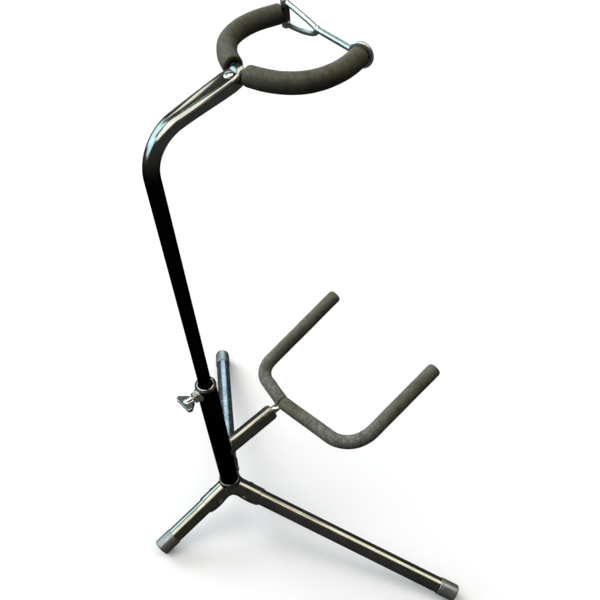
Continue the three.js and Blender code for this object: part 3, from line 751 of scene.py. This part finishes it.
def clamp_nut():
    """A hexagon nut with chamfered corners on a weld."""
    across = 13
    corner = across / math.sqrt(3)
    nut = rod("clamp_nut_fine", corner, 11, 19.5, CLAMP_FRAME, sides=6)
    barrel = [(9, 0), (9, corner), (18.6, corner), (19.6, corner - 1.4), (19.6, 0)]
    combine(nut, solid("barrel", *lathe(barrel), CLAMP_FRAME), "INTERSECT")

    def ripple(along, angle, radius):
        return 0.25 * math.sin(14 * angle) if radius > corner else 0

    weld = [(10, 0), (10, corner + 1.5), (12.6, corner + 1.3), (13.6, corner - 0.6), (13.6, 0)]
    weld = lathe(softened(weld, 0.7, closed=False), SMALL_SIDES, swell=ripple)
    join(nut, solid("weld", *weld, CLAMP_FRAME))
    cut(nut, rod("bore", BOLT + GAP, 0, 30, CLAMP_FRAME))
    tube = span("lower_tube", UPRIGHT)[1].x + GAP
    cut(nut, rod("tube", tube, -400, 400, UPRIGHT, sides=SIDES))
    shade(nut, 30)
    stand_in(nut)


def bolt_shank():
    """The clamp's bolt, with its thread."""
    pitch = 1.0
    low, high = span("bolt_shank", CLAMP_FRAME)

    def thread(along, angle, radius):
        phase = (along / pitch - angle / (2 * math.pi)) % 1
        return -0.55 * abs(2 * phase - 1) if radius > 2 else 0

    ends = [(low.z, 0), (low.z, BOLT - 0.4), (low.z + 0.6, BOLT), (high.z, BOLT), (high.z, 0)]
    outline = subdivided(ends, 0.12)
    stand_in(solid("bolt_shank_fine", *lathe(outline, 32, swell=thread), CLAMP_FRAME))


def wing_head():
    """The cast wings: a boss inside a thick plate that flares away from the nut."""
    place = CLAMP_FRAME @ Matrix.Rotation(math.radians(WING["turn"]), 4, "Z")
    start, end, boss = WING["start"], WING["end"], WING["boss"]
    cone = softened([(start, 0), (start, boss), (end - 2, boss - 0.6), (end + 0.5, 2.5), (end + 0.5, 0)],
                    1.6, closed=False)
    head = solid("wing_head_fine", *lathe(cone, SMALL_SIDES), place)
    outline = [Vector((-boss - 1, start + 1)), Vector((boss + 1, start + 1))]
    outline += arc((WING["reach"], end), WING["lobe"], -30, 100, 12)
    outline += arc((-WING["reach"], end), WING["lobe"], 80, 210, 12)
    count = len(outline)
    half = WING["thickness"] / 2
    points = [Vector((p.x, height, p.y)) for height in (-half, half) for p in outline]
    faces = [tuple(range(count)), tuple(reversed(range(count, 2 * count)))]
    faces += [(i, (i + 1) % count, (i + 1) % count + count, i + count) for i in range(count)]
    join(head, solid("plate", points, faces, place))
    cast(head, grain=0.35, passes=9)
    cut(head, rod("socket", BOLT + GAP, 0, 25.3, CLAMP_FRAME))
    shade(head, 50)
    stand_in(head)


# ---- neck

BEND_TURN = math.radians(BEND["angle"])
NECK_FRONT = BEND["radius"] * (1 - math.cos(BEND_TURN)) + NECK["length"] * math.sin(BEND_TURN)
NECK_HEIGHT = BEND["start"] + BEND["radius"] * math.sin(BEND_TURN) + NECK["length"] * math.cos(BEND_TURN)
YOKE_JOINT = Vector((0, -NECK_FRONT, NECK_HEIGHT))
NECK_LINE = Vector((0, -math.sin(BEND_TURN), math.cos(BEND_TURN)))


def neck_centre(along, straight, bend):
    """The upper tube's centre at a distance from its lower end, and the way up across it there."""
    if along <= straight:
        centre, turn = Vector((0, 0, BEND["start"] - straight + along)), 0
    elif along <= bend:
        turn = (along - straight) / BEND["radius"]
        front = BEND["radius"] * (1 - math.cos(turn))
        centre = Vector((0, -front, BEND["start"] + BEND["radius"] * math.sin(turn)))
    else:
        turn = BEND_TURN
        centre = YOKE_JOINT + NECK_LINE * (along - bend - NECK["length"])
    return centre, Vector((0, math.cos(turn), math.sin(turn)))


def neck_ring(along, straight, bend):
    """One ring of the upper tube: round up to the bend, then flattened and dished on top, with a tip
    that is drawn in and deepened to clasp the rod."""
    joint = bend + NECK["length"]
    centre, up = neck_centre(along, straight, bend)
    flat = smoothstep(along, straight, bend + NECK["length"] * 0.45)
    drawn = smoothstep(along, joint - TIP["taper"], joint)
    pressed = smoothstep(along, bend, joint)
    half_width = mix(mix(8, NECK["half_width"], flat), TIP["half_width"], drawn)
    half_thickness = mix(mix(8, NECK["half_thickness"], flat), TIP["half_thickness"], pressed)
    centre -= Vector((0, 0, TIP["drop"] * pressed))
    rounding = math.sqrt(1 - (0.9 * smoothstep(along, joint + TIP["past"] - 3, joint + TIP["past"])) ** 2)
    rivet = joint - NECK_RIVET["back"]
    hollow = DISH * smoothstep(along, bend - 25, rivet - 12) * (1 - smoothstep(along, rivet + 4, joint))
    reach = mix(0.16, 0.62, smoothstep(along, bend - 10, rivet)) ** 2
    ring = []
    for i in range(SIDES):
        angle = 2 * math.pi * i / SIDES
        square = mix(1, 0.7, flat)
        across = math.copysign(abs(math.cos(angle)) ** square, math.cos(angle))
        out = math.copysign(abs(math.sin(angle)) ** square, math.sin(angle)) * half_thickness
        if out > 0:
            out -= hollow * math.exp(-(across**4) / reach**2)
        ring.append(centre + (Vector((across * half_width, 0, 0)) + up * out) * rounding)
    return ring


def upper_tube():
    """The upper tube, marked from the bend on for a brighter plating, a painted sheen."""
    bottom = span("upper_tube", UPRIGHT)[0].z
    straight = BEND["start"] - bottom
    bend = straight + BEND["radius"] * BEND_TURN
    total = bend + NECK["length"] + TIP["past"]
    steps = [straight * i / 12 for i in range(12)]
    steps += [mix(straight, total, i / 170) for i in range(171)]
    points = [point for along in steps for point in neck_ring(along, straight, bend)]
    tube = solid("upper_tube_fine", points, shut_stack(points, SIDES), UPRIGHT)
    # Painted sheen: the bend and neck are marked for a brighter plating that stands in for how they are lit.
    mark(tube, "thin", lambda point: smoothstep(point.z - BEND["start"], -2, 42))
    stand_in(tube)


def neck_rivet():
    """The rivet through the neck's tip, with its broad low head down in the dish."""
    back = NECK["length"] - NECK_RIVET["back"]
    pressed = smoothstep(back, 0, NECK["length"])
    half = mix(NECK["half_thickness"], TIP["half_thickness"], pressed)
    outline = rivet_outline(NECK_RIVET["radius"], NECK_RIVET["head"], NECK_RIVET["height"], half - DISH / 2)
    centre = YOKE_JOINT - NECK_LINE * NECK_RIVET["back"] - Vector((0, 0, TIP["drop"] * pressed + DISH / 2))
    place = moved(UPRIGHT, centre) @ Matrix.Rotation(BEND_TURN - math.pi / 2, 4, "X")
    stand_in(solid("neck_rivet_fine", *lathe(outline, SMALL_SIDES), place))


# ---- yoke and gate


def bezier(corners, steps):
    """Points on the cubic curve that four corners give."""
    curve = []
    for i in range(steps + 1):
        row = corners
        while len(row) > 1:
            row = [here.lerp(there, i / steps) for here, there in zip(row, row[1:])]
        curve.append(row[0])
    return curve


def yoke_route():
    """From the tail behind the barrel, round the guitar's neck, to the far arm's end."""
    end = Vector((YOKE["half_width"], YOKE["depth"]))
    cheek = Vector((1.32 * YOKE["half_width"], 0.45 * YOKE["depth"]))
    heel = Vector((0.94 * YOKE["half_width"], 0.12 * YOKE["depth"]))
    tail = end + (end - cheek).normalized() * YOKE["tail"]
    half = bezier([end, cheek, heel, Vector((0, 0))], 160)
    flat = [tail] + half + [Vector((-p.x, p.y)) for p in reversed(half[:-1])]
    points = [YOKE_JOINT + Vector((p.x, -p.y, 0)) for p in flat]
    return FlatRoute(points, Vector((0, 0, 1)))


YOKE_ROUTE = yoke_route()
HINGE = YOKE_ROUTE.points[0]
ARM_END = YOKE_ROUTE.points[-1]
ARM_LINE = (YOKE_ROUTE.points[-1] - YOKE_ROUTE.points[-2]).normalized()


def yoke_rod():
    """The rod inside the yoke, with the gate's upright eye at its end."""
    ends = [(0, 0), (0, 4.5), (YOKE_ROUTE.length, 4.5), (YOKE_ROUTE.length, 0)]
    outline = subdivided(ends, 3)
    rod_piece = solid("yoke_rod_fine", *lathe(outline, 32, YOKE_ROUTE), UPRIGHT)
    place = moved(UPRIGHT, HINGE)
    height = BARREL["half_height"]
    radius = BARREL["radius"]
    eye = softened([(-height, 0), (-height, radius), (height, radius), (height, 0)], 0.8, closed=False)
    join(rod_piece, solid("eye", *lathe(eye, SMALL_SIDES), place))
    cut(rod_piece, rod("hole", GATE_PIN["radius"] + GAP, -20, 20, place))
    shade(rod_piece, 40)
    stand_in(rod_piece)


def sleeve(node, route, start, end, radius, shut, wear, place, material):
    """A foam sleeve along a route: a wall with a crisp rim, shut by a round end where asked."""
    bore = radius - FOAM["wall"]
    seed = 7.3 * sum(map(ord, node)) % 91
    step = 1 if end > start else -1
    corners = [(start, bore), (start, radius - 0.8), (start + 0.8 * step, radius - 0.15),
               (start + 3 * step, radius)]
    if shut:
        tip = FOAM["tip"]
        turns = [math.radians(90 * i / 8) for i in range(9)]
        corners += [(end - step * tip * (1 - math.sin(turn)), radius - tip * (1 - math.cos(turn)))
                    for turn in turns]
        corners += [(end, 0), (end - 1.2 * step, 0), (end - 1.2 * step, bore)]
    else:
        corners += [(end - 1.6 * step, radius), (end, radius - 0.9), (end, bore)]
    outline = softened(corners, 0.6)
    outline = subdivided(outline + outline[:1], 1.6)[:-1]

    def swell(along, angle, out):
        if out <= bore + 0.5:
            return 0
        spot = Vector((along / 16, math.cos(angle) * 0.8 + seed, math.sin(angle) * 0.8))
        fine = Vector((along / 4, math.cos(angle) * 2, math.sin(angle) * 2 + seed))
        return 0.26 * noise.noise(spot) + 0.1 * noise.noise(fine)

    piece = solid(f"{node}_fine", *lathe(outline, SIDES, route, swell), place, sharp=50)
    mark(piece, "wear", wear)
    stand_in(piece, material)


def yoke_sleeves():
    middle = (YOKE_ROUTE.length + YOKE["tail"]) / 2

    # Pale patches, more of them on the top of the sleeves.
    def wear(point):
        return 0.2 + 0.4 * smoothstep(point.z, NECK_HEIGHT + 4, NECK_HEIGHT + 9)

    root = YOKE["root"]
    sleeves = {"right": (middle - root, YOKE["tail"]), "left": (middle + root, YOKE_ROUTE.length)}
    for side, (start, end) in sleeves.items():
        sleeve(f"yoke_sleeve_{side}", YOKE_ROUTE, start, end, FOAM["yoke"], False, wear, UPRIGHT, YOKE_FOAM)


def bent_bar(points, radius, normal):
    """Points and faces of a round bar with domed ends, through points in a plane."""
    route = FlatRoute(points, normal)
    ends = [(0, 0), (0, radius * 0.6), (radius * 0.5, radius), (route.length - radius * 0.5, radius),
            (route.length, radius * 0.6), (route.length, 0)]
    return lathe(subdivided(ends, 2.5), 24, route)


def prong(side, fullness, knuckle):
    """One prong of the gate's fork, from the hinge to the knuckle: straight at 0, bowed out at 1."""
    level = Vector((0, 0, side * GATE["level"]))
    root = HINGE + level
    straight = [root.lerp(knuckle, t) for t in (0, 0.4, 0.8, 1)]
    full = [root, root + (knuckle - HINGE) * 0.55, knuckle + level * 0.62, knuckle + level * 0.1]
    corners = [a.lerp(b, fullness) for a, b in zip(straight, full)]
    bar = bent_bar(bezier(corners, 24), GATE["prong"], Vector((0, 1, 0)))
    return solid("prong", *bar, UPRIGHT)


def knob(knuckle):
    """The ball where the prongs and the bar meet."""
    half = dome(0, 3.6)
    outline = half + [Vector((-point.x, point.y)) for point in reversed(half[:-1])]
    return solid("knob", *lathe(outline, 32), moved(UPRIGHT, knuckle))


def disc(place):
    """The gate's disc, which lies over the end of the far arm."""
    front, rim = GAP + GATE["thickness"], GATE["disc"]
    outline = softened([(GAP, 0), (GAP, rim - 0.4), (mix(GAP, front, 0.6), rim), (front, rim - 1.6),
                        (front - 0.8, 0)], 1.2, closed=False)
    return solid("disc", *lathe(outline, SIDES), place)


def gate():
    """The gate: a fork over the barrel, its upper prong nearly straight, a bar and a disc."""
    knuckle = HINGE + Vector((-GATE["fork"], 0, 0))
    disc_centre = ARM_END + ARM_LINE * (GAP + GATE["thickness"] / 2)
    bar = bent_bar([knuckle, disc_centre], GATE["bar"], Vector((0, 0, 1)))
    piece = solid("gate_fine", *bar, UPRIGHT)
    hinge = moved(UPRIGHT, HINGE)
    clear = BARREL["half_height"] + GAP
    for side, fullness in ((1, 0.15), (-1, 1)):
        join(piece, prong(side, fullness, knuckle))
        heights = sorted((side * clear, side * (GATE["level"] + GATE["prong"])))
        join(piece, rod("tab", BARREL["radius"], *heights, hinge))
    join(piece, knob(knuckle))
    x = ARM_LINE.cross(Vector((0, 0, 1))).normalized()
    turn = Matrix((x, ARM_LINE.cross(x), ARM_LINE)).transposed().to_4x4()
    end = moved(UPRIGHT, ARM_END) @ turn
    join(piece, disc(end))
    cast(piece, grain=0.45, passes=4)
    cut(piece, rod("arm", GATE["disc"] + 1, -30, GAP, end))
    cut(piece, rod("pin", GATE_PIN["radius"] + GAP, -20, 20, hinge))
    cut(piece, rod("barrel", BARREL["radius"] + 6, -clear, clear, hinge))
    shade(piece, 50)
    stand_in(piece)


def gate_pin():
    reach = GATE["level"] + GATE["prong"] + GAP / 2
    outline = rivet_outline(GATE_PIN["radius"], GATE_PIN["head"], GATE_PIN["height"], reach)
    stand_in(solid("gate_pin_fine", *lathe(outline, SMALL_SIDES), moved(UPRIGHT, HINGE)))


# ---- stem and cradle


def stem_root(angle, radius, tube):
    """How far along the stem its skin meets the upright, at an angle round the stem."""
    x, y = radius * math.cos(angle), radius * math.sin(angle)
    axis = STEM_FRAME.to_3x3().inverted() @ (UPRIGHT.to_3x3() @ Vector((0, 0, 1)))
    a = 1 - axis.z**2
    b = y * axis.y * axis.z
    c = x * x + y * y * (1 - axis.y**2) - tube * tube
    return (b + math.sqrt(max(0, b * b - a * c))) / a


def stem_tube():
    """The stem with its saddle-shaped root and a rippled weld round it."""
    high = span("stem_tube", STEM_FRAME)[1]
    radius, bore = high.x, high.x - STEM["wall"]
    outline = softened([(0, bore), (0, radius), (high.z, radius), (high.z, bore)], 0.5)
    stem = solid("stem_tube_fine", *lathe(outline), STEM_FRAME)
    tube = span("lower_tube", UPRIGHT)[1].x
    points = []
    turns, sides = 144, 14
    for i in range(turns):
        angle = 2 * math.pi * i / turns
        out = Vector((math.cos(angle), math.sin(angle), 0))
        centre = out * (radius + 0.1) + Vector((0, 0, stem_root(angle, radius + 0.1, tube + 0.4)))
        bead = 1.5 + 0.22 * math.sin(26 * angle) + 0.2 * noise.noise(out * 3)
        for j in range(sides):
            turn = 2 * math.pi * j / sides
            points.append(centre + (out * math.cos(turn) + Vector((0, 0, 1)) * math.sin(turn)) * bead)
    join(stem, solid("weld", points, ring_faces(turns, sides, True), STEM_FRAME))
    cut(stem, rod("upright", tube + GAP, 0, 220, UPRIGHT, sides=SIDES))
    shade(stem, 40)
    stand_in(stem)


def stem_bush():
    low, high = span("stem_bush", STEM_FRAME)
    seat = STEM["length"] + GAP
    bore, radius = STEM_BUSH["bore"], STEM_BUSH["radius"]
    outline = softened([(low.z, bore), (low.z, radius), (seat, radius), (seat, high.x),
                        (high.z - 0.7, high.x), (high.z, high.x - 0.8), (high.z, bore)], 0.35)
    stand_in(solid("stem_bush_fine", *lathe(outline), STEM_FRAME))


def cradle_pin():
    """The cradle's pin: round in the bush, then forged flat to a blade against the rod."""
    low, high = span("cradle_pin", STEM_FRAME)
    shoulder = STEM["length"] + 5
    points = []
    steps = [low.z, low.z + 0.6, shoulder - 1] + [mix(shoulder, high.z, i / 12) for i in range(13)]
    for along in steps:
        flat = smoothstep(along, shoulder, high.z)
        half_width = mix(5.5, 5.9, flat) - 0.6 * (along == low.z)
        half_thickness = mix(5.5, 2.3, flat) - 0.6 * (along == low.z)
        for i in range(SMALL_SIDES):
            angle = 2 * math.pi * i / SMALL_SIDES
            points.append(Vector((half_width * math.cos(angle), half_thickness * math.sin(angle), along)))
    stand_in(solid("cradle_pin_fine", points, shut_stack(points, SMALL_SIDES), STEM_FRAME))


def cradle_side(side):
    """One side of the cradle: its corner's centre, and the length from the pin to the arm's end."""
    bow = math.radians(CRADLE["bow"])
    width, corner = side["width"], side["corner"]
    run = (width - corner + corner * math.sin(bow)) / math.cos(bow)
    x = run * math.cos(bow) - corner * math.sin(bow)
    y = run * math.sin(bow) + corner * math.cos(bow)
    return Vector((x, y)), run + corner * (math.pi / 2 - bow) + side["reach"] - y


def cradle_route():
    """From the right arm's end, across the pin, to the left arm's end."""
    right = cradle_side(RIGHT_SIDE)[0]
    left = cradle_side(LEFT_SIDE)[0]
    bow = CRADLE["bow"]
    flat = [Vector((RIGHT_SIDE["width"], RIGHT_SIDE["reach"]))]
    flat += arc(right, RIGHT_SIDE["corner"], 0, bow - 90, 90)
    flat += [Vector((0, 0))]
    flat += arc((-left.x, left.y), LEFT_SIDE["corner"], -90 - bow, -180, 90)
    flat += [Vector((-LEFT_SIDE["width"], LEFT_SIDE["reach"]))]
    flat = subdivided(flat, 3)
    rise = math.radians(CRADLE["rise"])
    points = [Vector((p.x, math.sin(rise) * p.y, STEM["reach"] + math.cos(rise) * p.y)) for p in flat]
    return FlatRoute(points, Vector((0, math.cos(rise), -math.sin(rise))))


def cradle_sleeves():
    """Two sleeves that nearly butt at the pin, pale round the outside of the corners: rubbed wear, with a painted
    bluish sheen of window light there.
    """
    route = cradle_route()
    seam = cradle_side(RIGHT_SIDE)[1]

    def wear(point):
        side = RIGHT_SIDE if point.x > 0 else LEFT_SIDE
        corner = cradle_side(side)[0]
        away = Vector((abs(point.x) - corner.x, point.z - STEM["reach"] - corner.y)).length
        # Pale round the outside of the lower corners: rubbed wear, and painted window light on those flanks.
        rubbed = 1 - smoothstep(abs(away - side["corner"] - 3), 4, 22)
        low = 1 - smoothstep(point.z - STEM["reach"], corner.y - 25, corner.y + 45)
        return 0.2 + 0.6 * rubbed * low

    for side, (root, end) in {"right": (seam - 0.6, 0), "left": (seam + 0.8, route.length)}.items():
        sleeve(f"cradle_sleeve_{side}", route, root, end, FOAM["cradle"], True, wear, STEM_FRAME, CRADLE_FOAM)


# ---- the stand

hub_spider()
for leg in LEG_TURNS:
    leg_tube(leg)
    foot_cap(leg)
    leg_rivet(leg)
lower_tube()
collar_bush()
clamp_nut()
bolt_shank()
wing_head()
upper_tube()
neck_rivet()
yoke_rod()
yoke_sleeves()
gate()
gate_pin()
stem_tube()
stem_bush()
cradle_pin()
cradle_sleeves()

for hidden in ("guide_bush", "cradle_rod"):
    mesh = frame["nodes"][hidden].data
    mesh.materials.clear()
    mesh.materials.append(FINISHES[SLOT_OF[hidden]])

# ---- studio


def seen_or_dim(tree, seen, dim, output):
    """Shows one shader to the camera and a dim one to every other ray."""
    ray = tree.nodes.new("ShaderNodeLightPath")
    choice = tree.nodes.new("ShaderNodeMixShader")
    tree.links.new(ray.outputs["Is Camera Ray"], choice.inputs["Fac"])
    tree.links.new(dim.outputs[0], choice.inputs[1])
    tree.links.new(seen.outputs[0], choice.inputs[2])
    tree.links.new(choice.outputs["Shader"], tree.nodes[output].inputs["Surface"])


def floor():
    """A plain pale floor, dim to every ray but the camera's."""
    half = 8
    corners = [(-half, -half, 0), (half, -half, 0), (half, half, 0), (-half, half, 0)]
    mesh = bpy.data.meshes.new("floor")
    mesh.from_pydata(corners, [], [(0, 1, 2, 3)])
    plane = added("floor", mesh)
    s = Surface("pale_floor", Base_Color=(0.80, 0.775, 0.765, 1), Roughness=0.9, Specular_IOR_Level=0.1)
    s.shader.inputs["Emission Color"].default_value = (1, 1, 1, 1)
    s.shader.inputs["Emission Strength"].default_value = 0.08
    dim = s.nodes.new("ShaderNodeBsdfDiffuse")
    dim.inputs["Color"].default_value = (0.05, 0.05, 0.05, 1)
    seen_or_dim(s.material.node_tree, s.shader, dim, "Material Output")
    mesh.materials.append(s.material)


def soft_light(name, towards, angle, strength, colour, mirrored=True):
    """A distant soft light in the given direction, which may be kept out of reflections."""
    light = bpy.data.lights.new(name, "SUN")
    light.angle = math.radians(angle)
    light.energy = strength
    light.color = colour
    lamp = added(name, light)
    lamp.rotation_mode = "QUATERNION"
    lamp.rotation_quaternion = Vector(towards).to_track_quat("Z", "Y")
    lamp.visible_glossy = mirrored


def backdrop():
    """A white backdrop, dim to every ray but the camera's."""
    world = bpy.data.worlds.new("backdrop")
    world.use_nodes = True
    tree = world.node_tree
    dim = tree.nodes["Background"]
    dim.inputs["Color"].default_value = (0.93, 0.96, 1.0, 1)
    dim.inputs["Strength"].default_value = 0.06
    seen = tree.nodes.new("ShaderNodeBackground")
    seen.inputs["Color"].default_value = (1, 1, 1, 1)
    seen.inputs["Strength"].default_value = 1.0
    seen_or_dim(tree, seen, dim, "World Output")
    bpy.context.scene.world = world


def camera():
    """The view from behind the stand, from its left and from above."""
    place = Vector((-0.5275, 0.4783, 0.9431))
    aim = Vector((0.0245, -0.0158, 0.2715))
    data = bpy.data.cameras.new("camera")
    data.sensor_width = 36
    data.lens = 45.3
    data.shift_x = 0.055
    data.shift_y = 0.099
    eye = added("camera", data)
    eye.location = place
    eye.rotation_mode = "QUATERNION"
    roll = Matrix.Rotation(math.radians(7.3), 3, "Z").to_quaternion()
    eye.rotation_quaternion = (aim - place).to_track_quat("-Z", "Y") @ roll
    bpy.context.scene.camera = eye


floor()
for towards in ((0.1, 0.66, 0.75), (-0.15, -0.3, 0.94), (0.3, 0.27, 0.9)):
    soft_light("overhead", towards, 42, 0.9, (1.0, 0.985, 0.94))
for towards in ((0.85, 0.4, 0.3), (0.85, -0.5, 0.2), (0.5, 0.84, 0.16)):
    soft_light("window", towards, 38, 0.9, (0.55, 0.84, 1.0))
soft_light("key", (0.85, 0.3, 0.42), 36, 2.5, (0.95, 0.98, 1.0), mirrored=False)
backdrop()
camera()
bpy.context.scene.view_settings.view_transform = "Standard"
